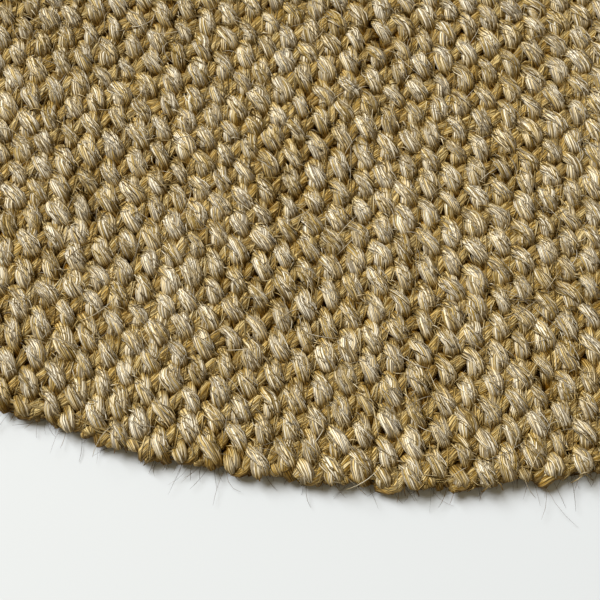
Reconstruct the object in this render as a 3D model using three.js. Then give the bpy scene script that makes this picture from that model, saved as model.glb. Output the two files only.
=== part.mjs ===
import * as THREE from "three";

// A round rug woven flat from thick two-ply sisal yarn and cut round by hand. It is one sheet with
// no backing and no binding, and it lies flat. Millimetres, +Z up. The origin is the middle of the
// underside, +X runs along the weft yarns and +Y along the warp yarns.

// Driving dimensions. At every crossing one warp yarn lies over the weft yarn or under it, so the
// rug is three pressed yarns thick: a warp yarn above, the weft yarn, and a warp yarn below.
const DIAMETER = 1000;
const WARP_PITCH = 6.0;
const PRESSED_YARN = 3.5;
const THICKNESS = 3 * PRESSED_YARN;

// The top edge is rounded where the last yarns bend down to the floor, and the bottom edge is only
// eased, so that the rug lies flat almost to its outline.
const TOP_ROUND = 4.5;
const TOP_ROUND_STEPS = 3;
const BOTTOM_EASE = 1.2;

// One step of the outline is as wide as one warp yarn.
const EDGE_STEPS = Math.round((Math.PI * DIAMETER) / WARP_PITCH);

// The cut edge leaves the true circle in slow bulges from the hand and in small bumps from the yarn
// ends. Each row is one wave round the rug: how many bulges it has, how far it stands out from the
// circle in mm, and the part of a turn by which it is shifted.
const EDGE_WAVES = [
  { bulges: 2, depth: 1.6, shift: 0.11 },
  { bulges: 3, depth: 1.1, shift: 0.63 },
  { bulges: 5, depth: 0.8, shift: 0.37 },
  { bulges: 11, depth: 0.7, shift: 0.82 },
  { bulges: 23, depth: 0.6, shift: 0.24 },
  { bulges: 47, depth: 0.5, shift: 0.55 },
  { bulges: 89, depth: 0.5, shift: 0.91 },
  { bulges: 131, depth: 0.6, shift: 0.43 },
];

// How far the cut edge stands from the middle, in the direction of an angle.
function edgeRadius(angle) {
  let radius = DIAMETER / 2;
  for (const wave of EDGE_WAVES) {
    radius += wave.depth * Math.sin(wave.bulges * angle + wave.shift * 2 * Math.PI);
  }
  return radius;
}

// The section of the rug from the middle of the underside, round the edge, to the middle of the
// top: x is the distance from the middle and y the height.
function sectionProfile() {
  const radius = DIAMETER / 2;
  const profile = [
    new THREE.Vector2(0, 0),
    new THREE.Vector2(radius - BOTTOM_EASE, 0),
    new THREE.Vector2(radius, BOTTOM_EASE),
  ];
  for (let step = 0; step <= TOP_ROUND_STEPS; step += 1) {
    const turn = ((step / TOP_ROUND_STEPS) * Math.PI) / 2;
    const x = radius - TOP_ROUND * (1 - Math.cos(turn));
    const y = THICKNESS - TOP_ROUND * (1 - Math.sin(turn));
    profile.push(new THREE.Vector2(x, y));
  }
  profile.push(new THREE.Vector2(0, THICKNESS));
  return profile;
}

// The section is turned into a true disc, whose rim is then pulled in or out to the uneven edge.
function rugGeometry() {
  const geometry = new THREE.LatheGeometry(sectionProfile(), EDGE_STEPS);
  geometry.rotateX(Math.PI / 2);
  const position = geometry.attributes.position;
  for (let index = 0; index < position.count; index += 1) {
    const x = position.getX(index);
    const y = position.getY(index);
    const pull = edgeRadius(Math.atan2(y, x)) / (DIAMETER / 2);
    position.setXY(index, x * pull, y * pull);
  }
  return centred(geometry);
}

// The uneven outline is moved so that the origin is the middle of its length and width.
function centred(geometry) {
  geometry.computeBoundingBox();
  const middle = geometry.boundingBox.getCenter(new THREE.Vector3());
  geometry.translate(-middle.x, -middle.y, 0);
  geometry.computeVertexNormals();
  return geometry;
}

const sisal = new THREE.MeshStandardMaterial({ color: 0xb69f70, roughness: 0.75, metalness: 0 });

const rug = new THREE.Mesh(rugGeometry(), sisal);
rug.name = "rug";

const roundRug = new THREE.Group();
roundRug.add(rug);

export default roundRug;
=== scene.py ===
# %% [markdown]
# # A round sisal rug, seen close to its edge
#
# The real rug is one flat sheet. Thick two-ply sisal yarns are woven over and under each other in
# the plainest way there is, and a circle is cut out by hand. There is no backing and no binding.
# Close up it is all yarn: each warp yarn shows as a row of short fat knuckles, with small bits of
# the weft yarns between them.
#
# A picture of the weave on a flat disc would look flat, because the knuckles throw shadows on each
# other. So each yarn is made here as a real tube that follows its way through the weave.

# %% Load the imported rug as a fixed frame
import math

import bmesh
import bpy
import numpy as np
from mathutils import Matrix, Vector


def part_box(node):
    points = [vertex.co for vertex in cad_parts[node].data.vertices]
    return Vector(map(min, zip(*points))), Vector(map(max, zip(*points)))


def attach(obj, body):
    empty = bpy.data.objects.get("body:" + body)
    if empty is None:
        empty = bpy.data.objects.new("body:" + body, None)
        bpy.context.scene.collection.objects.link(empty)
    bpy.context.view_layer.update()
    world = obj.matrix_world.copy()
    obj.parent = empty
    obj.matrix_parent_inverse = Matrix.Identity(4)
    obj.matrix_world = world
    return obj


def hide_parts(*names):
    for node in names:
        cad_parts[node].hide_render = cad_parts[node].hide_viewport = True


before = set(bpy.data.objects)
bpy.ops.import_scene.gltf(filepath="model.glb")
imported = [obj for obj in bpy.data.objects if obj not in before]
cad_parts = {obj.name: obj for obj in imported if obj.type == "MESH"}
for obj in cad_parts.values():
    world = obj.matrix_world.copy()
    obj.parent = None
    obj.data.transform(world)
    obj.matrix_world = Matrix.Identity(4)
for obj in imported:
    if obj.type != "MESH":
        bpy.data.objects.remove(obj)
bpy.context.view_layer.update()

low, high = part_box("rug")
print("rug", [round(side, 4) for side in high - low])

# %% [markdown]
# ## The sizes of the weave
#
# All sizes are in metres, and MM keeps them readable. The warp yarns run along Y and the weft yarns
# along X. The warp lies twice as close as the weft, which is why mostly its knuckles show. The two
# shifts say where the yarns happened to lie when the circle was cut.

# %% Sizes of the weave
MM = 0.001
RADIUS = (high.x - low.x + high.y - low.y) / 4
THICKNESS = high.z
MIDDLE = THICKNESS / 2

WARP_PITCH = 6.0 * MM
WEFT_PITCH = 12.17 * MM
WARP_SHIFT = 1.4 * MM
WEFT_SHIFT = -5.9 * MM
SPARE_YARNS = 3

WARP_COUNT = int(RADIUS / WARP_PITCH) + SPARE_YARNS
WEFT_COUNT = int(RADIUS / WEFT_PITCH) + SPARE_YARNS
warps = np.arange(-WARP_COUNT, WARP_COUNT + 1)
wefts = np.arange(-WEFT_COUNT, WEFT_COUNT + 1)
print(len(warps), "warp yarns and", len(wefts), "weft yarns")

# %% [markdown]
# ## The camera
#
# The camera comes first, because the yarns near it need finer shapes than the others. It stands
# near the edge and looks steeply down. Its axes give a quick test of which points it sees, with a
# margin, so that the fine yarns end a little outside the picture.

# %% Camera
def add_object(name, data):
    """A new object in the scene that shows the data."""
    made = bpy.data.objects.new(name, data)
    bpy.context.scene.collection.objects.link(made)
    return made


CAMERA_PLACE = Vector((-0.2699, -0.5640, 0.5835))
CAMERA_TILT = math.radians(69.97)
CAMERA_TURN = math.radians(20.42)
LENS = 81.0
SENSOR = 36.0

level = Vector((math.sin(CAMERA_TURN), math.cos(CAMERA_TURN), 0))
looking = level * math.cos(CAMERA_TILT) - Vector((0, 0, math.sin(CAMERA_TILT)))

camera = add_object("camera", bpy.data.cameras.new("camera"))
camera.location = CAMERA_PLACE
camera.rotation_euler = looking.to_track_quat("-Z", "Y").to_euler()
camera.data.lens = LENS
camera.data.sensor_width = SENSOR
bpy.context.scene.camera = camera
print("camera looks along", [round(part, 3) for part in looking])

# %% What the camera sees
right = Vector((math.cos(CAMERA_TURN), -math.sin(CAMERA_TURN), 0))
upward = right.cross(looking)


def in_view(x, y, margin):
    """Which points of the rug's top the camera sees, with a margin as a part of the picture's width."""
    away = np.stack([x, y, np.full_like(x, THICKNESS)], -1) - np.array(CAMERA_PLACE)
    depth = away @ np.array(looking)
    across = away @ np.array(right) / depth * LENS / SENSOR
    along = away @ np.array(upward) / depth * LENS / SENSOR
    return (np.abs(across) < 0.5 + margin) & (np.abs(along) < 0.5 + margin)


# %% [markdown]
# ## The cut edge
#
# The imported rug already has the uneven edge. Its outermost corners, sorted by their direction from
# the middle, give the edge's distance from the middle in any direction. The corners come in stacks,
# one above the other, and the furthest of each stack counts.

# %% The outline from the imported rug
OUTER_PART = 0.9
SAME_STACK = 0.1 * WARP_PITCH / RADIUS

corners = np.array([vertex.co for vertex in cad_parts["rug"].data.vertices])
outer = corners[np.hypot(corners[:, 0], corners[:, 1]) > OUTER_PART * RADIUS]
outer = outer[np.argsort(np.arctan2(outer[:, 1], outer[:, 0]))]
turns = np.arctan2(outer[:, 1], outer[:, 0])
starts = np.concatenate([[0], np.flatnonzero(np.diff(turns) > SAME_STACK) + 1])
directions = turns[starts]
reach = np.maximum.reduceat(np.hypot(outer[:, 0], outer[:, 1]), starts)
print(len(directions), "steps round the edge, from", reach.min().round(4), "to", reach.max().round(4))


def edge_at(angle):
    """The cut edge's distance from the middle in a direction."""
    return np.interp(angle, directions, reach, period=2 * math.pi)


def from_edge(x, y):
    """How far inside the cut edge a point lies."""
    return edge_at(np.arctan2(y, x)) - np.hypot(x, y)


# %% [markdown]
# ## The table of crossings
#
# No hand-woven cloth is even. One table with a row for each warp yarn and a column for each weft
# yarn holds what differs from crossing to crossing: its place, how high and how wide the knuckle
# is, how far the twist has run, and the yarn's shade. Slow waves shift whole stretches of the
# cloth, and small random steps shift single crossings. Both yarns read the same table, so they
# still meet at every crossing. The seed is fixed, so every run gives the same rug.

# %% Where the yarns cross
random = np.random.default_rng(20)
DRIFTS = [
    {"along": "x", "size": 1.2 * MM, "wave_x": 0.31, "wave_y": 0.17, "turn": 0.4},
    {"along": "x", "size": 0.8 * MM, "wave_x": -0.11, "wave_y": 0.13, "turn": 2.1},
    {"along": "y", "size": 1.5 * MM, "wave_x": 0.21, "wave_y": -0.26, "turn": 5.0},
    {"along": "y", "size": 1.2 * MM, "wave_x": 0.09, "wave_y": 0.19, "turn": 1.3},
]
WANDERS = [
    {"along": "x", "axis": 1, "slow": 0.35 * MM, "steps": 7, "single": 0.32 * MM},
    {"along": "y", "axis": 0, "slow": 0.75 * MM, "steps": 9, "single": 0.50 * MM},
]


def smooth_noise(shape, axis, steps):
    """Random numbers that change slowly along one axis of a table."""
    noise = random.normal(0, 1, shape)
    kernel = np.hanning(steps + 2)[1:-1]
    kernel /= np.sqrt((kernel**2).sum())
    return np.apply_along_axis(lambda row: np.convolve(row, kernel, "same"), axis, noise)


shape = (len(warps), len(wefts))
x_plain, y_plain = np.meshgrid(
    warps * WARP_PITCH + WARP_SHIFT, wefts * WEFT_PITCH + WEFT_SHIFT, indexing="ij"
)
shift = {"x": np.zeros(shape), "y": np.zeros(shape)}
for drift in DRIFTS:
    wave = 2 * math.pi * (x_plain / drift["wave_x"] + y_plain / drift["wave_y"]) + drift["turn"]
    shift[drift["along"]] += drift["size"] * np.sin(wave)
for wander in WANDERS:
    slow = wander["slow"] * smooth_noise(shape, wander["axis"], wander["steps"])
    shift[wander["along"]] += slow + random.normal(0, wander["single"], shape)
crossing_x = x_plain + shift["x"]
crossing_y = y_plain + shift["y"]
print(shape[0] * shape[1], "crossings, shifted by up to", round(np.abs(shift["y"]).max() / MM, 1), "mm")

# %% [markdown]
# The rest of the table has no unit. Where `over` is 1 the warp lies on top, and where it is -1 the
# weft does. Lift and width are factors near 1, and shade and greyness go from -2 to 2.

# %% How the crossings differ
LIFT_SPREAD = 0.10
LIFT_LIMITS = (-0.25, 0.15)
WIDTH_SPREAD = 0.13
SLOW_WIDTH = 0.05
WIDTH_STEPS = 5
WIDTH_LIMITS = (-0.25, 0.3)
TWIST_SPREAD = 0.35
SHADE_SPREAD = 0.7
SLOW_SHADE = 0.6
SHADE_STEPS = 6
SLOW_GREYNESS = 0.7
GREYNESS_STEPS = 4
SHADE_LIMITS = (-2, 2)

over = np.where((warps[:, None] + wefts[None, :]) % 2 == 1, 1.0, -1.0)
lift = 1 + np.clip(random.normal(0, LIFT_SPREAD, shape), *LIFT_LIMITS)
widths = random.normal(0, WIDTH_SPREAD, shape) + SLOW_WIDTH * smooth_noise(shape, 1, WIDTH_STEPS)
spread = 1 + np.clip(widths, *WIDTH_LIMITS)
twist_step = random.normal(0, TWIST_SPREAD, shape)
shades = random.normal(0, SHADE_SPREAD, shape) + SLOW_SHADE * smooth_noise(shape, 1, SHADE_STEPS)
shade = np.clip(shades, *SHADE_LIMITS)
greys = random.normal(0, SHADE_SPREAD, shape)
greys += SLOW_GREYNESS * smooth_noise(shape, 1, GREYNESS_STEPS)
greyness = np.clip(greys, *SHADE_LIMITS)
print("knuckle widths from", round(spread.min(), 2), "to", round(spread.max(), 2))

# %% [markdown]
# ## Tubes from arrays
#
# A yarn could be a curve with a bevel, but a bevel keeps one section along the whole curve, and a
# woven yarn is pressed flat on top of each knuckle and pinched between them. With a few hundred
# yarns, arrays are also much faster. A tube here is a path of rings. Each ring is an ellipse with
# its own width and height, and quads join it to the next ring. A point at each end closes the tube.
# A section is a list of angles round the ellipse, and most of them lie on the upper half, which is
# the half that shows.
#
# Each point also stores where it lies inside its yarn: two numbers across the section, and one
# along the length. The fibre pattern is painted with these, so it follows the yarn round every
# bend. The fibres wind slowly round the ply, and the two numbers across are turned with them. A
# second set of three numbers holds the yarn's shade, its greyness and the height of its top; the
# last sets how much painted shade the finish gives it.


# %% A bundle of tubes that becomes one mesh
class Tubes:
    def __init__(self, name, material):
        self.name, self.material = name, material
        self.points, self.quads, self.ends = [], [], []
        self.strand, self.yarn = [], []
        self.count = 0

    def add(self, path, side, up, wide, tall, section, strand, yarn):
        """One closed tube. wide and tall are half sizes of each ring along side and up."""
        rings, sides = len(path), len(section)
        across = wide[:, None] * np.cos(section)
        above = tall[:, None] * np.sin(section)
        ring = path[:, None] + side[:, None] * across[..., None] + up[:, None] * above[..., None]
        length, turn, radius = strand
        inner = section[None, :] + turn[:, None]
        along = np.broadcast_to(length[:, None], inner.shape)
        fibre = np.stack([radius * np.cos(inner), radius * np.sin(inner), along], -1)
        middles = np.array([[0, 0, length[0]], [0, 0, length[-1]]])
        self.points.append(np.concatenate([ring.reshape(-1, 3), path[[0, -1]]]))
        self.strand.append(np.concatenate([fibre.reshape(-1, 3), middles]))
        self.yarn.append(np.concatenate([np.repeat(yarn, sides, axis=0), yarn[[0, -1]]]))

        here = self.count + np.arange(sides)
        there = self.count + (np.arange(sides) + 1) % sides
        rows = np.arange(rings - 1)[:, None] * sides
        first, second = rows + here, rows + there
        quads = np.stack([first, first + sides, second + sides, second], -1)
        self.quads.append(quads.reshape(-1, 4))
        last = (rings - 1) * sides
        tip, tail = self.count + rings * sides, self.count + rings * sides + 1
        self.ends.append(np.stack([here, there, np.full(sides, tip)], -1))
        self.ends.append(np.stack([there + last, here + last, np.full(sides, tail)], -1))
        self.count += rings * sides + 2

    def build(self):
        """Joins the tubes into one object, with its two attributes and its material."""
        points = np.concatenate(self.points).astype(np.float32)
        quads = np.concatenate(self.quads)
        ends = np.concatenate(self.ends)
        loops = np.concatenate([quads.ravel(), ends.ravel()])
        sizes = np.concatenate([np.full(len(quads), 4), np.full(len(ends), 3)])
        starts = np.concatenate([[0], np.cumsum(sizes)[:-1]])
        mesh = bpy.data.meshes.new(self.name)
        mesh.vertices.add(len(points))
        mesh.vertices.foreach_set("co", points.ravel())
        mesh.loops.add(len(loops))
        mesh.loops.foreach_set("vertex_index", loops.astype(np.int32))
        mesh.polygons.add(len(sizes))
        mesh.polygons.foreach_set("loop_start", starts.astype(np.int32))
        mesh.polygons.foreach_set("use_smooth", np.ones(len(sizes), bool))
        mesh.update(calc_edges=True)
        for name, rows in (("strand", self.strand), ("yarn", self.yarn)):
            values = np.concatenate(rows).astype(np.float32)
            made = mesh.attributes.new(name, "FLOAT_VECTOR", "POINT")
            made.data.foreach_set("vector", values.ravel())
        mesh.materials.append(self.material)
        print(self.name, 2 * len(quads) + len(ends), "triangles")
        return add_object(self.name, mesh)


# %% [markdown]
# ## Materials
#
# A material is a tree of nodes, and a tree drawn by hand is hard to read as text. A small class
# makes shader maths read like plain maths instead: each sum or product adds its Math node.


# %% Shader maths
class Maths:
    def __init__(self, tree, socket):
        self.tree, self.socket = tree, socket

    def join(self, operation, first, second=None):
        values = [value for value in (first, second) if value is not None]
        return self.tree.node("ShaderNodeMath", {"operation": operation}, *values)

    def __add__(self, other):
        return self.join("ADD", self, other)

    __radd__ = __add__

    def __mul__(self, other):
        return self.join("MULTIPLY", self, other)

    __rmul__ = __mul__

    def __sub__(self, other):
        return self.join("SUBTRACT", self, other)

    def __rsub__(self, other):
        return self.join("SUBTRACT", other, self)

    def __abs__(self):
        return self.join("ABSOLUTE", self)

    def clamped(self):
        return self.join("MINIMUM", self.join("MAXIMUM", self, 0.0), 1.0)

    def ramp(self, start, end):
        """0 below start, 1 above end, smooth between."""
        settings = {"interpolation_type": "SMOOTHSTEP"}
        return self.tree.node("ShaderNodeMapRange", settings, self, start, end, 0.0, 1.0)


# %% [markdown]
# Every other node comes from the one method `node` below. It sets the node up, and then gives each
# socket a value or a link. What is the same all over, such as the roughness, is written straight
# into the shader's socket. The shine has the warm tint that light takes on in sisal's waxy skin.

# %% A material, node by node
SHINE_TINT = (1.0, 0.82, 0.45, 1)


class Finish:
    def __init__(self, name, roughness, shine):
        self.material = bpy.data.materials.new(name)
        self.material.use_nodes = True
        self.tree = self.material.node_tree
        self.shader = self.tree.nodes["Principled BSDF"]
        self.set("Roughness", roughness)
        self.set("Specular IOR Level", shine)
        self.set("Specular Tint", SHINE_TINT)

    def node(self, kind, settings=None, *values, output=0, **named):
        made = self.tree.nodes.new(kind)
        for key, value in (settings or {}).items():
            setattr(made, key, value)
        for key, value in [*enumerate(values), *named.items()]:
            self.feed(made.inputs[key], value)
        return Maths(self, made.outputs[output])

    def feed(self, socket, value):
        if isinstance(value, Maths):
            self.tree.links.new(value.socket, socket)
        else:
            socket.default_value = value

    def set(self, name, value):
        self.feed(self.shader.inputs[name], value)

    def attribute(self, name):
        return self.node("ShaderNodeAttribute", {"attribute_name": name}, output="Vector")

    def parts(self, vector):
        made = self.node("ShaderNodeSeparateXYZ", None, vector)
        return [Maths(self, output) for output in made.socket.node.outputs]

    def scaled(self, vector, by):
        return self.node("ShaderNodeVectorMath", {"operation": "MULTIPLY"}, vector, by)

    def noise(self, vector, detail, roughness):
        named = {"Vector": vector, "Scale": 1.0, "Detail": detail, "Roughness": roughness}
        return self.node("ShaderNodeTexNoise", None, **named)

    def cells(self, vector, feature, output):
        named = {"Vector": vector, "Scale": 1.0, "Randomness": 1.0}
        return self.node("ShaderNodeTexVoronoi", {"feature": feature}, output=output, **named)

    def mix(self, factor, first, second, kind="MIX"):
        made = self.node("ShaderNodeMix", {"data_type": "RGBA", "blend_type": kind})
        inputs, outputs = made.socket.node.inputs, made.socket.node.outputs
        colours = [socket for socket in inputs if socket.type == "RGBA"]
        self.feed(inputs["Factor"], factor)
        self.feed(colours[0], first)
        self.feed(colours[1], second)
        return Maths(self, [socket for socket in outputs if socket.type == "RGBA"][0])

    def colours(self, factor, stops):
        """A colour ramp from a list of (place, colour)."""
        made = self.node("ShaderNodeValToRGB", None, factor)
        ramp = made.socket.node.color_ramp
        while len(ramp.elements) < len(stops):
            ramp.elements.new(0.5)
        for element, (place, colour) in zip(ramp.elements, stops):
            element.position = place
            element.color = (*colour, 1)
        return made


# %% [markdown]
# ## Sisal fibre
#
# Sisal is straw-coloured and silky. Each ply is a bundle of strands, and each strand has a shade of
# its own. A thin dark crease parts it from the next; that crease is painted shade, where the
# border between two strands would lie in shadow. The pattern is worked out from the attribute
# `strand`, so it has no seams and runs along every yarn.
#
# Voronoi cells, drawn out fifty times along the yarn, are the strands. A cell's random colour is
# its shade, and the distance to its border gives the crease. Noise, drawn out thirty times, is the
# single fibres. Shade, fibres and the yarn's own tone add up to one value, which picks a colour
# from a ramp of straw colours. Fibres and creases make the bump too, so that strands catch light.
#
# Deep down between the knuckles the colour is painted darker and browner. This is painted shade:
# it stands for the shadow there, and for light that has met many fibres and comes back warm. What
# counts as deep is mostly the height of the yarn's top at that ring, and partly the point's own
# height, so that the side of a high knuckle stays pale.

# %% Colours and sizes of the fibre
STRAW = [
    (0.00, (0.092, 0.048, 0.005)),
    (0.25, (0.272, 0.169, 0.032)),
    (0.50, (0.524, 0.370, 0.126)),
    (0.75, (0.795, 0.636, 0.370)),
    (1.00, (0.835, 0.744, 0.560)),
]
# Painted shade by height: dark warm brown deep down, no change on top.
DEPTH_SHADE_COLOURS = [
    (0.0, (0.28, 0.150, 0.008)),
    (0.6, (0.74, 0.630, 0.360)),
    (1.0, (1.00, 1.000, 1.000)),
]
DEEP_HEIGHT = 6.2 * MM
PALE_HEIGHT = 10.5 * MM
OWN_HEIGHT_SHARE, TOP_HEIGHT_SHARE = 0.3, 0.7

STRAND_SCALE = (1500, 1500, 28)
STRAND_CONTRAST = 0.60
CREASE_WIDTH = 0.17
CREASE_DARKNESS = 0.8
CREASE_SHADE_COLOUR = (0.060, 0.028, 0.003, 1)

FIBRE_SCALE = (2400, 2400, 75)
FIBRE_LIMITS = (0.34, 0.66)
FIBRE_CONTRAST = 0.54
FIBRE_RELIEF = 0.4
BUMP_DEPTH = 0.30 * MM

TONE_STEP = 0.08
GREY_STEP = 0.18
GREY_COLOUR = (0.330, 0.270, 0.160, 1)
SISAL_ROUGHNESS = 0.45
SISAL_SHINE = 0.15
print(len(STRAW), "straw colours, from dark to pale")

# %% [markdown]
# Two finishes come from one function. The yarns in view are real plies, and need no groove. A far
# yarn is one plain tube, so the groove between its two plies is painted along it as a bump and as
# painted shade, a darker line: the first of the two numbers across is near zero there. A far yarn
# also has no loose strands that shade each other, so it starts from a darker and greyer value
# instead. That is painted shade too, which keeps both parts of the rug alike.

# %% The yarn's finish
SKIN_RADIUS = 2.4 * MM
GROOVE_WIDTH = 0.45
GROOVE_SHADE = 0.5
GROOVE_RELIEF = 1.2


def sisal_finish(name, usual, grey_share, groove_shows):
    finish = Finish(name, SISAL_ROUGHNESS, SISAL_SHINE)
    strand = finish.attribute("strand")
    tone, grey, top_height = finish.parts(finish.attribute("yarn"))

    strands = finish.scaled(strand, STRAND_SCALE)
    own_shade = finish.parts(finish.cells(strands, "F1", "Color"))[0]
    border = finish.cells(strands, "DISTANCE_TO_EDGE", "Distance")
    crease = 1.0 - border.ramp(0.0, CREASE_WIDTH)
    fibres = finish.scaled(strand, FIBRE_SCALE)
    fine = finish.noise(fibres, detail=1, roughness=0.5).ramp(*FIBRE_LIMITS)
    streak = (own_shade - 0.5) * STRAND_CONTRAST + (fine - 0.5) * FIBRE_CONTRAST
    straw = finish.colours((usual + streak + tone * TONE_STEP).clamped(), STRAW)
    greyed = finish.mix((grey * GREY_STEP + grey_share).clamped(), straw, GREY_COLOUR)
    # The crease colour is painted shade between the strands.
    crease_shaded = finish.mix(crease * CREASE_DARKNESS, greyed, CREASE_SHADE_COLOUR)

    # Painted shade: the lower the yarn's top and the point, the darker and browner the colour.
    own_height = finish.parts(finish.node("ShaderNodeTexCoord", output="Object"))[2]
    height = own_height * OWN_HEIGHT_SHARE + top_height * TOP_HEIGHT_SHARE
    depth = finish.colours(height.ramp(DEEP_HEIGHT, PALE_HEIGHT), DEPTH_SHADE_COLOURS)
    colour = finish.mix(1.0, crease_shaded, depth, "MULTIPLY")
    relief = fine * FIBRE_RELIEF - crease
    if groove_shows:
        across = finish.parts(strand)[0]
        on_ply = abs(across * (1 / SKIN_RADIUS)).ramp(0.0, GROOVE_WIDTH)
        # Painted shade: the groove between the far yarn's two plies is darkened.
        colour = finish.mix(on_ply, finish.mix(GROOVE_SHADE, colour, CREASE_SHADE_COLOUR), colour)
        relief = relief + on_ply * GROOVE_RELIEF
    bump = {"Strength": 1.0, "Distance": BUMP_DEPTH, "Height": relief}
    finish.set("Base Color", colour)
    finish.set("Normal", finish.node("ShaderNodeBump", None, **bump))
    print(name, len(finish.tree.nodes), "nodes")
    return finish.material


ply_finish = sisal_finish("sisal_plies", usual=0.760, grey_share=-0.15, groove_shows=False)
# The far yarn's darker, greyer start is painted shade for the shadows of strands it lacks.
yarn_finish = sisal_finish("sisal_yarn", usual=0.662, grey_share=0.02, groove_shows=True)

# %% [markdown]
# ## Each yarn's way through the weave
#
# A place along a yarn is counted in crossings: 3.5 is halfway between the third and the fourth. At
# a crossing the yarn is at the top of a knuckle or at the bottom, under the other yarn. Warp and
# weft differ in these numbers:
#
# - rise: how far the yarn swings up and down from the middle of the cloth
# - dome: how long a knuckle stays high before it falls, as a power
# - share: the part of the way to the next crossing that belongs to the knuckle on top
# - skew: how far a knuckle's highest point is pushed along the yarn
# - slant: how far the twist pulls a knuckle's two ends to opposite sides
# - set: how far the yarns lie aside from their rows
# - uneven: how much of the table's lift shows in them
# - top and between: half width and half height on a knuckle and between two
# - lean: how fast the loose strands cross over a knuckle
#
# The warp does all the bending, so it has the higher and longer knuckles. The weft lies nearly
# straight and only shows in small bits between them, which the twist pulls aslant.

# %% Warp and weft
WARP = {
    "steps": wefts,
    "sign": 1,
    "across": np.array([1.0, 0, 0]),
    "rise": 3.1 * MM,
    "dome": 2.8,
    "share": 0.53,
    "skew": 0.22,
    "slant": -0.3 * MM,
    "set": 0.0,
    "uneven": 1,
    "top": (4.2 * MM, 2.7 * MM),
    "between": (4.4 * MM, 3.0 * MM),
    "lean": 0.70,
}
WEFT = {
    "steps": warps,
    "sign": -1,
    "across": np.array([0, -1.0, 0]),
    "rise": 2.0 * MM,
    "dome": 2.0,
    "share": 0.46,
    "skew": 0,
    "slant": 1.2 * MM,
    "set": -0.6 * MM,
    "uneven": 2.4,
    "top": (3.6 * MM, 2.6 * MM),
    "between": (4.8 * MM, 2.4 * MM),
    "lean": 1.5,
}
print("knuckles are", round(2 * WARP["top"][0] / MM, 1), "mm wide")

# %% [markdown]
# Near the cut edge the last knuckle has nothing to lie on, so the yarn bends down to the floor.
# The highest place that a yarn's middle may take falls along a quarter ellipse towards the edge,
# and nothing goes through the floor. The knuckles there get no more painted depth shade than a
# yarn whose top is at EDGE_CREST, so they stay pale although they lie low, as they catch light
# from the side.

# %% The edge and the floor
EDGE_FALL = 7.0 * MM
EDGE_CREST = 9.0 * MM
ROOF_SLACK = 0.6 * MM
FLOOR_GAP = 0.1 * MM


def keep_inside(height, half, inside):
    """Heights of a yarn's middle that keep it under the rounded edge and above the floor."""
    part = np.clip(inside / EDGE_FALL, 0, 1)
    roof = half + (THICKNESS + ROOF_SLACK - 2 * half) * np.sqrt(1 - (1 - part) ** 2)
    return np.maximum(np.minimum(height, roof), half + FLOOR_GAP)


# %% A yarn that knows its way
TWIST_LENGTH = 27 * MM
SLANT_SPREAD = 0.45 * MM
BULK_SPREAD = 0.05
BULK_LIMITS = (-0.1, 0.1)
PATTERN_LENGTH = 50


class Yarn:
    """One yarn of the cloth, which knows where it is at any place along it."""

    def __init__(self, way, index):
        rows = [crossing_x, crossing_y, over, lift, spread, twist_step, shade, greyness]
        rows = [table[index] if way is WARP else table[:, index] for table in rows]
        self.x, self.y, over_row, lift_row, self.spread, twist, self.tone, self.grey = rows
        self.way, self.steps = way, way["steps"]
        self.y = self.y + way["set"]
        self.over = way["sign"] * over_row
        self.rise = (1 + way["uneven"] * (lift_row - 1)) * way["rise"]
        self.slant = way["slant"] + random.normal(0, SLANT_SPREAD, len(self.x))
        self.turns = random.uniform(0, 2 * math.pi) + np.cumsum(twist)
        self.bulk = 1 + np.clip(random.normal(0, BULK_SPREAD), *BULK_LIMITS)
        self.start = random.uniform(0, PATTERN_LENGTH)

    def read(self, row, places):
        return np.interp(places, self.steps, row)

    def on_top(self, crossing):
        return self.over[crossing - self.steps[0]] > 0

    def knuckles(self, places):
        """At each place, whether its knuckle is on top, and how far it lies from the crossing."""
        below = np.floor(places).astype(int)
        part = places - below
        share = self.way["share"]
        share = np.where(self.over[below - self.steps[0]] > 0, share, 1 - share)
        first = part < share
        over = self.over[np.where(first, below, below + 1) - self.steps[0]]
        return over, 0.5 * np.where(first, part / share, (part - 1) / (1 - share))

    def stretch(self, places):
        """The stretch of yarn with a ring at each place."""
        way = self.way
        over, beyond = self.knuckles(places)
        x, y = self.read(self.x, places), self.read(self.y, places)
        aside = self.read(self.slant, places) * over * np.sin(math.pi * beyond)
        if way is WARP:
            x = x - aside
        else:
            y = y + aside
        along = beyond + way["skew"] * (1 - 4 * beyond**2)
        top = 1 - np.abs(2 * along) ** way["dome"]
        width = self.read(self.spread, places) * self.bulk
        wide = (way["between"][0] * (1 - top) + way["top"][0] * top) * width
        tall = (way["between"][1] * (1 - top) + way["top"][1] * top) * (0.5 + 0.5 * width)
        height = MIDDLE + over * self.read(self.rise, places) * top
        inside = from_edge(x, y)
        crest = height + tall
        # Near the edge the painted depth shade is held back, as if the top were at EDGE_CREST.
        crest = np.where(inside < EDGE_FALL, np.maximum(crest, EDGE_CREST), crest)
        path = np.stack([x, y, keep_inside(height, tall, inside)], -1)
        run = y if way is WARP else x
        turn = 2 * math.pi * run / TWIST_LENGTH + self.read(self.turns, places)
        look = [self.read(self.tone, places), self.read(self.grey, places), crest]
        return Stretch(path, way["across"], wide, tall, turn, run + self.start, np.stack(look, -1))


# %% [markdown]
# ## Two plies make a yarn
#
# Two bundles of fibre are twisted round each other like the strokes of an S. Where they lie side
# by side the yarn shows a groove between them; a few millimetres on, one lies on top and hides the
# other. A woven yarn is pressed, so its section is wider than high.
#
# What makes a knuckle look like sisal is that single strands stand off it. They come in a later
# cell, and the crown method tells them how high the skin of the plies is at any distance from the
# yarn's middle.

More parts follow.
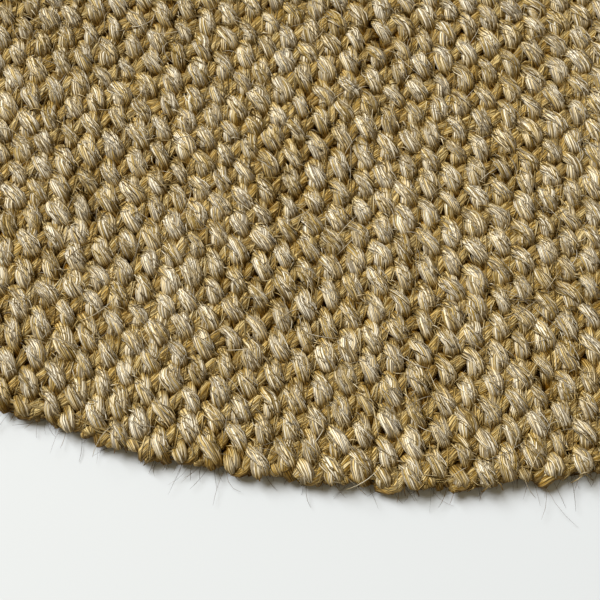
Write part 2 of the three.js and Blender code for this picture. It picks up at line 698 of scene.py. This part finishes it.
# %% Stretches of yarn
FIBRE_TURN = 75.0
PLY_BESIDE, PLY_ABOVE = 0.44, 0.30
PLY_WIDTH, PLY_WIDENING = 0.56, 0.17
PLY_HEIGHT, PLY_FLATTENING = 0.92, 0.22
PLAIN_WIDTH = 0.93
BLUNT_END = 0.6


def blunt(half):
    """Narrows the first and last rings, so that a cut end is blunt and not sharp."""
    half = half.copy()
    half[[0, -1]] *= BLUNT_END
    return half


class Stretch:
    """A stretch of yarn: its path, half sizes and twist, ring by ring."""

    def __init__(self, path, across, wide, tall, turn, length, look):
        ahead = np.gradient(path, axis=0)
        ahead /= np.linalg.norm(ahead, axis=1, keepdims=True)
        up = np.cross(across, ahead)
        self.up = up / np.linalg.norm(up, axis=1, keepdims=True)
        self.side = np.cross(ahead, self.up)
        self.path, self.wide, self.tall = path, wide, tall
        self.turn, self.length, self.look = turn, length, look

    def plies(self):
        """For both plies: the middle's distances beside and above the path, and the half sizes."""
        for turn in (self.turn, self.turn + math.pi):
            beside, above = np.cos(turn), np.sin(turn)
            yield (
                PLY_BESIDE * self.wide * beside,
                PLY_ABOVE * self.tall * above,
                self.wide * (PLY_WIDTH + PLY_WIDENING * above**2),
                self.tall * (PLY_HEIGHT - PLY_FLATTENING * above**2),
            )

    def add_plies(self, tubes, section):
        for number, (beside, above, wide, tall) in enumerate(self.plies()):
            middle = self.path + self.side * beside[:, None] + self.up * above[:, None]
            strand = (self.length + number, FIBRE_TURN * self.length, SKIN_RADIUS)
            sizes = (blunt(wide), blunt(tall))
            tubes.add(middle, self.side, self.up, *sizes, section, strand, self.look)

    def add_plain(self, tubes, section):
        strand = (self.length, -self.turn, SKIN_RADIUS)
        sizes = (blunt(self.wide * PLAIN_WIDTH), blunt(self.tall))
        tubes.add(self.path, self.side, self.up, *sizes, section, strand, self.look)

    def crown(self, beside):
        """How high above the path the yarn's skin is, at distances beside it."""
        tops = []
        for middle, above, wide, tall in self.plies():
            part = np.clip((beside - middle) / wide, -1, 1)
            tops.append(above + tall * np.sqrt(1 - part**2))
        return np.maximum(*tops)


# %% [markdown]
# ## Laying the yarns
#
# Each yarn is followed from edge to edge. The stretch that the camera sees is made as two plies,
# with more rings where the yarn lies on top than where it hides below. The rest is one plain tube
# with fewer rings. PLACE_STEP and SHORTEST_STRETCH are counted in crossings.

# %% Laying a yarn
VIEW_MARGIN = 0.03
CUT_GAP = 0.6 * MM
PLACE_STEP = 0.05
SHORTEST_STRETCH = 0.4


def unbroken(mask):
    """The first and last index of each unbroken run of true values."""
    edges = np.flatnonzero(np.diff(np.concatenate([[0], mask.astype(int), [0]])))
    return list(zip(edges[::2], edges[1::2] - 1))


def inside_stretches(yarn):
    """Stretches of a yarn inside the cut edge, each split where the camera's view begins or ends."""
    places = np.arange(yarn.steps[0] + 1, yarn.steps[-1] - 1, PLACE_STEP)
    x, y = yarn.read(yarn.x, places), yarn.read(yarn.y, places)
    seen = in_view(x, y, VIEW_MARGIN)
    for start, end in unbroken(from_edge(x, y) > CUT_GAP):
        changes = np.flatnonzero(np.diff(seen[start : end + 1].astype(int)))
        bounds = [start, *(start + changes), end]
        for here, there in zip(bounds[:-1], bounds[1:]):
            if places[there] - places[here] > SHORTEST_STRETCH:
                yield places[here], places[there], bool(seen[(here + there) // 2])


def ring_places(yarn, start, end, on_top, below):
    """Places for the rings between start and end, with so many on top and below at each crossing."""
    places = [start]
    for crossing in range(math.floor(start), math.ceil(end) + 1):
        count = on_top if yarn.on_top(crossing) else below
        inner = crossing + 0.5 * np.sin(math.pi * ((np.arange(count) + 0.5) / count - 0.5))
        places.extend(inner[(inner > start + PLACE_STEP) & (inner < end - PLACE_STEP)])
    return np.array([*places, end])


def top_crossings(yarn, start, end):
    """The crossings between start and end where this yarn lies on top."""
    crossings = range(math.ceil(start), math.floor(end) + 1)
    return [crossing for crossing in crossings if yarn.on_top(crossing)]


# %% [markdown]
# ## Loose strands on a knuckle
#
# Each strand starts and ends inside the yarn and lies on its skin between. It leans like the twist,
# and a few stand up at one end. Most are paler than the yarn and one in five is dark, which gives a
# knuckle its dark lines. Strands that lie towards a knuckle's sides are made darker: painted shade,
# so that the knuckle's middle looks lit. A flat tube with three sides is enough, and thousands are
# needed.

# %% Loose strands
FIBRE_SECTION = np.radians([90, 210, 330])
STRAND_LENGTHS = (0.75, 1)
STRAND_RADII = (0.20, 0.42)
STRAND_REACH = 0.95
LEAN_SPREAD = 0.15
BEND_SPREAD = 0.05
STRAND_FLATNESS = 0.6
STRAND_ABOVE = 0.2
END_BELOW = 0.8
STANDING_SHARE = 0.15
STANDING_HEIGHTS = np.array([4, 1.5])
DARK_SHARE = 0.20
DARK_TONE = (-5.5, 1)
PALE_TONE = (0.9, 0.9)
SIDE_SHADE = 1.6
STRAND_PATTERN = 0.3 * MM
FREE_OF_EDGE = 1.0 * MM
CLOSE_PLACES = np.array([-0.4, 0, 0.4])


def lay_strands(tubes, yarn, crossing, count, longest, rings):
    """Thin strands over one knuckle, aslant like the twist, with both ends tucked in."""
    middle = yarn.stretch(crossing + CLOSE_PLACES).path
    if from_edge(middle[:, 0], middle[:, 1]).min() < FREE_OF_EDGE:
        return
    for strand in range(count):
        before, after = random.uniform(*STRAND_LENGTHS, 2) * longest
        parts = np.sin(np.linspace(-0.5, 0.5, rings) * math.pi)
        stretch = yarn.stretch(crossing + np.where(parts < 0, before, after) * parts)
        run = (stretch.length - stretch.length.mean()) / stretch.wide.max()
        lean = random.uniform(-STRAND_REACH, STRAND_REACH)
        part = lean - random.normal(yarn.way["lean"], LEAN_SPREAD) * run
        part = part + random.normal(0, BEND_SPREAD) * run**2
        part = np.clip(part, -STRAND_REACH, STRAND_REACH)
        beside = part * stretch.wide
        radius = random.uniform(*STRAND_RADII) * MM
        above = np.full(rings, STRAND_ABOVE * radius)
        above[[0, -1]] = -END_BELOW * radius
        if random.uniform() < STANDING_SHARE:
            standing_end = [0, 1] if random.uniform() < 0.5 else [-1, -2]
            above[standing_end] = STANDING_HEIGHTS * radius
        above = above + stretch.crown(beside)
        path = stretch.path + stretch.side * beside[:, None] + stretch.up * above[:, None]
        half = blunt(np.full(rings, radius))
        tone = random.normal(*(DARK_TONE if random.uniform() < DARK_SHARE else PALE_TONE))
        # Painted shade: the further a strand lies to the side of the knuckle, the darker it is.
        tone -= SIDE_SHADE * part.mean() ** 2
        look = stretch.look + [tone, random.normal(0, 1), 0]
        fibre = (stretch.length + random.uniform(0, PATTERN_LENGTH), np.zeros(rings), STRAND_PATTERN)
        sizes = (half, STRAND_FLATNESS * half)
        tubes.add(path, stretch.side, stretch.up, *sizes, FIBRE_SECTION, fibre, look)


# %% [markdown]
# ## The warp yarns
#
# They are the rows of knuckles. No piece may grow too large for the files that are made from it
# later, so the near warp is split into a left and a right piece, and the far warp into three.

# %% Warp yarns
PLY_SECTION = np.radians([0, 36, 72, 108, 144, 180, 240, 300])
YARN_SECTION = np.radians([0, 55, 125, 180, 270])
KNUCKLE_STRANDS = {"count": 9, "longest": 0.5, "rings": 6}
NEAR_WARP_RINGS = {"on_top": 7, "below": 3}
FAR_WARP_RINGS = {"on_top": 4, "below": 1}
NEAR_SPLIT = CAMERA_PLACE.x + 0.06
FAR_SPLITS = (-0.17, 0.16)

near_warp = [
    Tubes("warp_yarns_front_left", ply_finish),
    Tubes("warp_yarns_front_right", ply_finish),
]
far_warp = [
    Tubes("warp_yarns_left", yarn_finish),
    Tubes("warp_yarns_middle", yarn_finish),
    Tubes("warp_yarns_right", yarn_finish),
]
warp_strands = [
    Tubes("loose_strands_left", ply_finish),
    Tubes("loose_strands_right", ply_finish),
]
for index, number in enumerate(warps):
    yarn = Yarn(WARP, index)
    x = number * WARP_PITCH
    near_piece = 0 if x < NEAR_SPLIT else 1
    far_piece = np.searchsorted(FAR_SPLITS, x, side="right")
    for start, end, seen in inside_stretches(yarn):
        if seen:
            stretch = yarn.stretch(ring_places(yarn, start, end, **NEAR_WARP_RINGS))
            stretch.add_plies(near_warp[near_piece], PLY_SECTION)
            for crossing in top_crossings(yarn, start, end):
                lay_strands(warp_strands[near_piece], yarn, crossing, **KNUCKLE_STRANDS)
        else:
            stretch = yarn.stretch(ring_places(yarn, start, end, **FAR_WARP_RINGS))
            stretch.add_plain(far_warp[far_piece], YARN_SECTION)
print(sum(len(bundle.points) for bundle in warp_strands), "loose strands on the warp")

# %% [markdown]
# ## The weft yarns
#
# The weft dips a little under each knuckle and rises between them, where its small bits show. They
# need fewer rings and sides than the knuckles.

# %% Weft yarns
WEFT_PLY_SECTION = np.radians([0, 45, 90, 135, 180, 270])
WEFT_SECTION = np.radians([10, 90, 170, 270])
WEFT_BIT_STRANDS = {"count": 6, "longest": 0.75, "rings": 4}
NEAR_WEFT_RINGS = {"on_top": 2, "below": 2}
FAR_WEFT_RINGS = {"on_top": 1, "below": 1}

near_weft = Tubes("weft_yarns_front", ply_finish)
far_weft = Tubes("weft_yarns_rest", yarn_finish)
weft_strands = Tubes("loose_strands_weft", ply_finish)
for index in range(len(wefts)):
    yarn = Yarn(WEFT, index)
    for start, end, seen in inside_stretches(yarn):
        if seen:
            stretch = yarn.stretch(ring_places(yarn, start, end, **NEAR_WEFT_RINGS))
            stretch.add_plies(near_weft, WEFT_PLY_SECTION)
            for crossing in top_crossings(yarn, start, end):
                lay_strands(weft_strands, yarn, crossing, **WEFT_BIT_STRANDS)
        else:
            stretch = yarn.stretch(ring_places(yarn, start, end, **FAR_WEFT_RINGS))
            stretch.add_plain(far_weft, WEFT_SECTION)

bundles = [*near_warp, *far_warp, near_weft, far_weft, *warp_strands, weft_strands]
yarn_pieces = [bundle.build() for bundle in bundles]

# %% [markdown]
# ## The rim
#
# Along the cut the last strands are pressed down and run with the edge. Short strands laid over the
# bent ends of the yarns give that. A strand's place on the rounded rim is one angle, its way up: 0
# is at the floor on the outside, and a quarter turn is on top.

# %% Strands along the rim
RIM_STRANDS = 560
RIM_RINGS = 9
RIM_LENGTHS = (18, 60)
RIM_RADII = (0.30, 0.60)
RIM_WAY_UP = (0.25, 1.15)
RIM_DRIFT = 0.22
RIM_LIMITS = (0.15, 1.4)
RIM_ROUNDNESS = 0.9
RIM_INSET = 1.0 * MM
RIM_DROP = 1.5 * MM
ENDS_INSET = 1.5 * MM
RIM_TONE = (0.2, 1.6)
RIM_PATTERN = 0.6 * MM

rim = Tubes("rim_strands", ply_finish)
for strand in range(RIM_STRANDS):
    length = random.uniform(*RIM_LENGTHS) * MM
    middle_angle = random.uniform(-math.pi, math.pi)
    angles = middle_angle + np.linspace(-0.5, 0.5, RIM_RINGS) * length / RADIUS
    way_up = random.uniform(*RIM_WAY_UP) + random.normal(0, RIM_DRIFT) * np.linspace(-1, 1, RIM_RINGS)
    way_up = np.clip(way_up, *RIM_LIMITS)
    radius = random.uniform(*RIM_RADII) * MM
    ends_in = np.zeros(RIM_RINGS)
    ends_in[[0, -1]] = ENDS_INSET
    inset = EDGE_FALL * RIM_ROUNDNESS * (1 - np.cos(way_up)) + radius + ends_in + RIM_INSET
    height = np.maximum((THICKNESS - RIM_DROP) * np.sin(way_up), radius + FLOOR_GAP)
    distance = edge_at(angles) - inset
    path = np.stack([distance * np.cos(angles), distance * np.sin(angles), height], -1)
    outward = np.stack([np.cos(angles), np.sin(angles), np.zeros(RIM_RINGS)], -1)
    up = np.tile([0, 0, 1.0], (RIM_RINGS, 1))
    half = blunt(np.full(RIM_RINGS, radius))
    look = np.tile([random.normal(*RIM_TONE), random.normal(0, 1), EDGE_CREST], (RIM_RINGS, 1))
    pattern_start = random.uniform(0, PATTERN_LENGTH)
    fibre = (angles * RADIUS + pattern_start, np.zeros(RIM_RINGS), RIM_PATTERN)
    rim.add(path, outward, up, half, half, FIBRE_SECTION, fibre, look)
rim_piece = rim.build()

# %% [markdown]
# ## Stray fibres
#
# Sisal sheds. Long pale fibres lie across the knuckles, short ones stand up everywhere like fuzz,
# and a few stick out over the floor at the edge. Blender's hair would show them too, but it isn't a
# mesh. Each is a thin tube that starts inside the cloth and bends as it goes.

# %% One fibre
HAIR_TIP = 0.5
HAIR_PATTERN = 0.2 * MM


def lay_hair(tubes, start, heading, bend, heights, length, radius, tone):
    """One fibre. The heights are those of its points, and it turns by bend on its way."""
    count = len(heights)
    angle = heading + bend * np.linspace(0, 1, count)
    step = length / (count - 1)
    x = start[0] + np.concatenate([[0], np.cumsum(np.cos(angle[:-1]))]) * step
    y = start[1] + np.concatenate([[0], np.cumsum(np.sin(angle[:-1]))]) * step
    path = np.stack([x, y, heights], -1)
    beside = np.stack([-np.sin(angle), np.cos(angle), np.zeros(count)], -1)
    up = np.tile([0, 0, 1.0], (count, 1))
    half = np.full(count, radius)
    half[-1] *= HAIR_TIP
    look = np.stack([np.full(count, tone), np.full(count, random.normal(0, 1)), heights], -1)
    along = np.linspace(0, length, count) + random.uniform(0, PATTERN_LENGTH)
    fibre = (along, np.zeros(count), HAIR_PATTERN)
    tubes.add(path, -beside, up, half, half, FIBRE_SECTION, fibre, look)


# %% Fibres on top of the rug
LYING = np.sin(np.linspace(0, math.pi, 9))
STANDING = np.linspace(0, 1, 5)
LYING_HAIRS = {
    "counts": {True: 330, False: 150},
    "rise": (1.8, 4.2),
    "below_top": 2.2 * MM,
    "form": LYING,
    "length": (7, 26),
    "bend": 1.1,
    "radius": (0.12, 0.20),
    "tone": (2.6, 1.2),
}
STANDING_HAIRS = {
    "counts": {True: 800, False: 200},
    "rise": (1.0, 3.2),
    "below_top": 2.0 * MM,
    "form": STANDING,
    "length": (2, 6),
    "bend": 0.8,
    "radius": (0.09, 0.14),
    "tone": (1.6, 1.6),
}
HAIR_INSET = 4 * MM
HAIR_MARGIN = 0.02

hairs = Tubes("stray_fibres", ply_finish)


def random_place(near):
    """A random point on the rug, in the camera's view or outside it."""
    while True:
        x, y = random.uniform(-RADIUS, RADIUS, 2)
        seen = in_view(np.array([x]), np.array([y]), HAIR_MARGIN)[0]
        if from_edge(x, y) > HAIR_INSET and seen == near:
            return x, y


for kind in (LYING_HAIRS, STANDING_HAIRS):
    for near, count in kind["counts"].items():
        for hair in range(count):
            rise = random.uniform(*kind["rise"]) * MM
            heights = THICKNESS - kind["below_top"] + rise * kind["form"]
            length = random.uniform(*kind["length"]) * MM
            heading = random.uniform(0, 2 * math.pi)
            bend = random.normal(0, kind["bend"])
            radius = random.uniform(*kind["radius"]) * MM
            start = random_place(near)
            tone = random.normal(*kind["tone"])
            lay_hair(hairs, start, heading, bend, heights, length, radius, tone)
print(len(hairs.points), "fibres on top")

# %% [markdown]
# The fibres at the edge start under the rim, each at its own height, and sink towards the floor.
# The edge in view is only a small part of the whole, and gets more than its share of them.

# %% Fibres at the edge
EDGE_HAIRS = 520
EDGE_HAIRS_IN_VIEW = 170
WHOLE_TURN = (-math.pi, math.pi)
EDGE_HAIR_START = 3 * MM
EDGE_HAIR_HEIGHTS = {"first": (0.8, 6.0), "last": (0.3, 3.0)}
EDGE_HAIR_SHORTEST = 3 * MM
EDGE_HAIR_LENGTH = 4.0
EDGE_HAIR_RADII = (0.05, 0.11)
HEADING_SPREAD = 0.8
EDGE_HAIR_BEND = 0.7
EDGE_HAIR_TONE = (3.0, 1.5)

edge_in_view = in_view(reach * np.cos(directions), reach * np.sin(directions), VIEW_MARGIN)
seen_turn = (directions[edge_in_view].min(), directions[edge_in_view].max())
for hair in range(EDGE_HAIRS):
    angle = random.uniform(*(seen_turn if hair < EDGE_HAIRS_IN_VIEW else WHOLE_TURN))
    distance = edge_at(angle) - EDGE_HAIR_START
    start = (distance * math.cos(angle), distance * math.sin(angle))
    first = random.uniform(*EDGE_HAIR_HEIGHTS["first"]) * MM
    last = random.uniform(*EDGE_HAIR_HEIGHTS["last"]) * MM
    heights = first + (last - first) * STANDING
    length = EDGE_HAIR_SHORTEST + random.exponential(EDGE_HAIR_LENGTH) * MM
    heading = angle + random.normal(0, HEADING_SPREAD)
    radius = random.uniform(*EDGE_HAIR_RADII) * MM
    bend = random.normal(0, EDGE_HAIR_BEND)
    tone = random.normal(*EDGE_HAIR_TONE)
    lay_hair(hairs, start, heading, bend, heights, length, radius, tone)
hair_piece = hairs.build()

# %% [markdown]
# ## Fibres in the valleys
#
# The valleys between the knuckles are never empty. Bent strands that slipped off the yarns lie in
# them, mostly along the warp. Only those near the camera can be told apart, so the far part of the
# rug has none. They are wider than the stray fibres and lie deeper.

# %% Fibres in the valleys
VALLEY_FIBRES = 10
VALLEY_INSET = 5 * MM
VALLEY_ARCH = np.array([0.0, 0.8, 1.0, 0.2])
VALLEY_HEADING = (0.35, 0.75)
VALLEY_LENGTHS = (4.5, 8.5)
VALLEY_ASIDE = 3.0
VALLEY_ALONG = (3.8, 7.6)
VALLEY_BOTTOMS = (5.4, 7.2)
VALLEY_RISES = (1.5, 3.2)
VALLEY_RADII = (0.18, 0.38)
VALLEY_BEND = 0.7
VALLEY_TONE = (0.6, 2)

valley = Tubes("valley_fibres", ply_finish)
seen = in_view(crossing_x.ravel(), crossing_y.ravel(), VIEW_MARGIN).reshape(shape)
well_inside = from_edge(crossing_x, crossing_y) > VALLEY_INSET
for row, column in zip(*np.nonzero(seen & well_inside & (over > 0))):
    knuckle = np.array([crossing_x[row, column], crossing_y[row, column]])
    for fibre in range(VALLEY_FIBRES):
        before_or_after = random.choice([-1, 1])
        heading = math.pi / 2 + random.normal(*VALLEY_HEADING)
        length = random.uniform(*VALLEY_LENGTHS) * MM
        aside = random.normal(0, VALLEY_ASIDE) * MM
        along = before_or_after * random.uniform(*VALLEY_ALONG) * MM
        middle = knuckle + [aside, along]
        start = middle - 0.5 * length * np.array([math.cos(heading), math.sin(heading)])
        bottom = random.uniform(*VALLEY_BOTTOMS) * MM
        heights = bottom + random.uniform(*VALLEY_RISES) * MM * VALLEY_ARCH
        radius = random.uniform(*VALLEY_RADII) * MM
        bend = random.normal(0, VALLEY_BEND)
        tone = random.normal(*VALLEY_TONE)
        lay_hair(valley, start, heading - bend / 2, bend, heights, length, radius, tone)
valley_piece = valley.build()

# %% [markdown]
# ## The heart of the sheet
#
# Between the yarns the cloth is closed by pressed fibre, so no light comes through it. A thin disc
# with the rug's own outline, a little inside the cut ends, stands for it. A circle is pulled out to
# the edge's own distance in each direction and extruded by its thickness.

# %% Heart of the sheet
HEART_INSET = 5.0 * MM
HEART_THICKNESS = 0.8 * MM
HEART_HEIGHT = 2.0 * MM
HEART_ROUGHNESS = 0.9
HEART_SHINE = 0.1
# The disc's dark brown is painted shade: it stands for the shadow deep between the yarns.
HEART_SHADE_COLOUR = (0.24, 0.15, 0.055, 1)

heart_finish = Finish("sisal_heart", HEART_ROUGHNESS, HEART_SHINE)
heart_finish.set("Base Color", HEART_SHADE_COLOUR)

shell = bmesh.new()
bmesh.ops.create_circle(shell, cap_ends=True, segments=len(directions), radius=1)
for vertex in shell.verts:
    angle = math.atan2(vertex.co.y, vertex.co.x)
    distance = edge_at(angle) - HEART_INSET
    vertex.co = Vector((math.cos(angle), math.sin(angle), 0)) * distance
    vertex.co.z = HEART_HEIGHT
raised = bmesh.ops.extrude_face_region(shell, geom=shell.faces[:])
top_points = [item for item in raised["geom"] if isinstance(item, bmesh.types.BMVert)]
bmesh.ops.translate(shell, verts=top_points, vec=(0, 0, HEART_THICKNESS))
bmesh.ops.recalc_face_normals(shell, faces=shell.faces[:])
heart_mesh = bpy.data.meshes.new("rug_heart")
shell.to_mesh(heart_mesh)
shell.free()
heart_mesh.materials.append(heart_finish.material)
heart = add_object("rug_heart", heart_mesh)
print("heart", len(heart_mesh.polygons), "faces")

# %% [markdown]
# ## The floor
#
# The rug lies on a plain pale floor, far wider than the picture. One flat face is enough. It isn't
# part of the rug.

# %% Floor
FLOOR_HALF = 6
FLOOR_COLOUR = (0.575, 0.589, 0.584, 1)
FLOOR_ROUGHNESS = 0.6
FLOOR_SHINE = 0.3

floor_finish = Finish("pale_floor", FLOOR_ROUGHNESS, FLOOR_SHINE)
floor_finish.set("Base Color", FLOOR_COLOUR)
floor_mesh = bpy.data.meshes.new("floor")
floor_shape = bmesh.new()
bmesh.ops.create_grid(floor_shape, x_segments=1, y_segments=1, size=FLOOR_HALF)
floor_shape.to_mesh(floor_mesh)
floor_shape.free()
floor_mesh.materials.append(floor_finish.material)
floor = add_object("floor", floor_mesh)
print("floor", 2 * FLOOR_HALF, "m wide")

# %% [markdown]
# ## The light
#
# One large lamp stands behind the rug, high on the left, so that the knuckles shade each other and
# the near edge throws a soft shadow towards the camera. It is far off, so its light is even. A warm
# sky fills the shadows, and the lamp is a little cooler, so that the floor looks neutral in both.

# %% Lamp and sky
LAMP_SIZE = 5.4
LAMP_ENERGY = 1580
LAMP_COLOUR = (0.897, 0.935, 1.0)
LAMP_TURN = math.radians(-52)
LAMP_RISE = math.radians(47)
LAMP_DISTANCE = 9.0
LIT_POINT = Vector((-0.2, -0.3, 0))
SKY_COLOUR = (1.0, 0.86, 0.60, 1)
SKY_STRENGTH = 0.31

lamp = add_object("lamp", bpy.data.lights.new("lamp", "AREA"))
lamp.data.size = LAMP_SIZE
lamp.data.energy = LAMP_ENERGY
lamp.data.color = LAMP_COLOUR
over_floor = level * math.cos(LAMP_TURN) + right * math.sin(LAMP_TURN)
towards_lamp = over_floor * math.cos(LAMP_RISE) + Vector((0, 0, math.sin(LAMP_RISE)))
lamp.location = LIT_POINT + towards_lamp * LAMP_DISTANCE
lamp.rotation_euler = (-towards_lamp).to_track_quat("-Z", "Y").to_euler()

world = bpy.data.worlds.new("sky")
world.use_nodes = True
background = world.node_tree.nodes["Background"]
background.inputs["Color"].default_value = SKY_COLOUR
background.inputs["Strength"].default_value = SKY_STRENGTH
bpy.context.scene.world = world
bpy.context.scene.view_settings.view_transform = "Standard"
print("lamp at", [round(part, 2) for part in lamp.location])

# %% [markdown]
#
# Everything rides on the one body: the heart, which stands for the sheet that was cut round from a
# square metre of cloth, and all the yarns with it. The imported rug is hidden.

# %% Pieces on the one body
fibre_pieces = [*yarn_pieces, rim_piece, hair_piece, valley_piece]
pieces = [heart, *fibre_pieces]
for piece in pieces:
    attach(piece, "root")
    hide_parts("rug")
print(len(pieces), "pieces on the one body")
